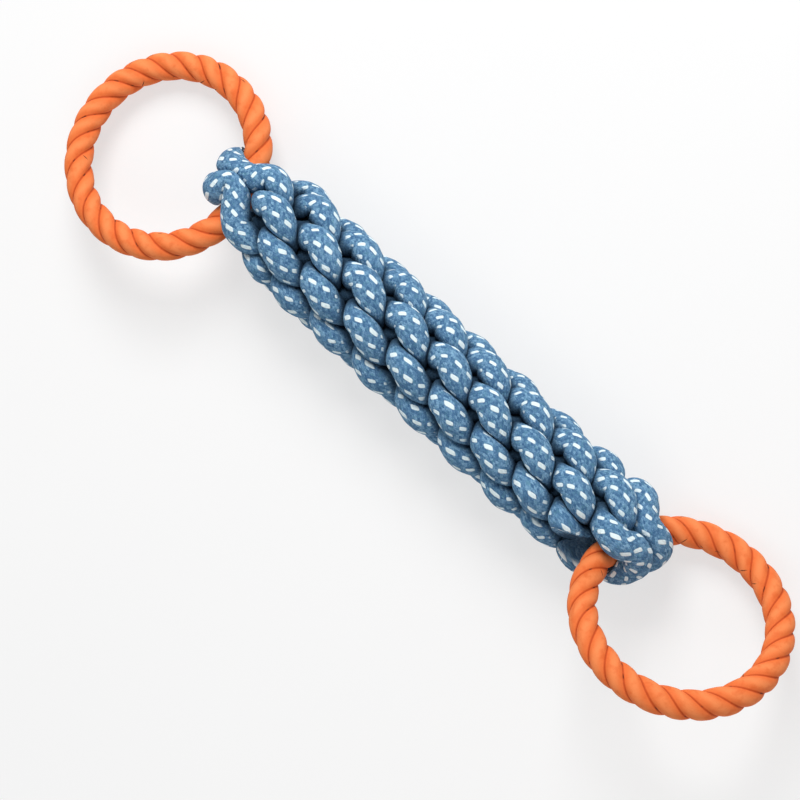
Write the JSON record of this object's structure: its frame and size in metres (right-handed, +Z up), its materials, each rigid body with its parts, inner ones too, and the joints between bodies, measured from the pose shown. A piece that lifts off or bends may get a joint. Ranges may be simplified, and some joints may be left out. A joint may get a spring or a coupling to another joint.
{
  "type": "rope tug toy",
  "caption": "Dog tug toy: thick crown-braided soft cord grip with a rope-shaped rubber ring hanging from a loop at each end.",
  "frame": {"origin": "on the surface that the toy lies on, under the middle of its bounding box", "axes": "+X along the grip from the left ring to the right ring, +Z up from the surface that the toy lies on"},
  "size_m": [0.3886, 0.0916, 0.0715],
  "materials": {
    "denim_cord": "soft heathered blue braid with white flecks",
    "orange_rubber": "matt moulded rubber with a rope lay"
  },
  "bodies": {
    "grip": {"first_cord": "denim_cord", "second_cord": "denim_cord"},
    "left_ring_body": {"left_ring": "orange_rubber"},
    "right_ring_body": {"right_ring": "orange_rubber"}
  },
  "joints": [
    {"name": "left_ring_swing", "type": "hinge", "parent": "grip", "child": "left_ring_body", "pos_m": [-0.10875, 0.01064, 0.0235], "axis": [-0.2211, 0.9355, -0.2756], "range_deg": [-110, 130]},
    {"name": "right_ring_swing", "type": "hinge", "parent": "grip", "child": "right_ring_body", "pos_m": [0.10875, 0.01064, 0.0235], "axis": [-0.2577, -0.7118, 0.6534], "range_deg": [-110, 130]}
  ]
}
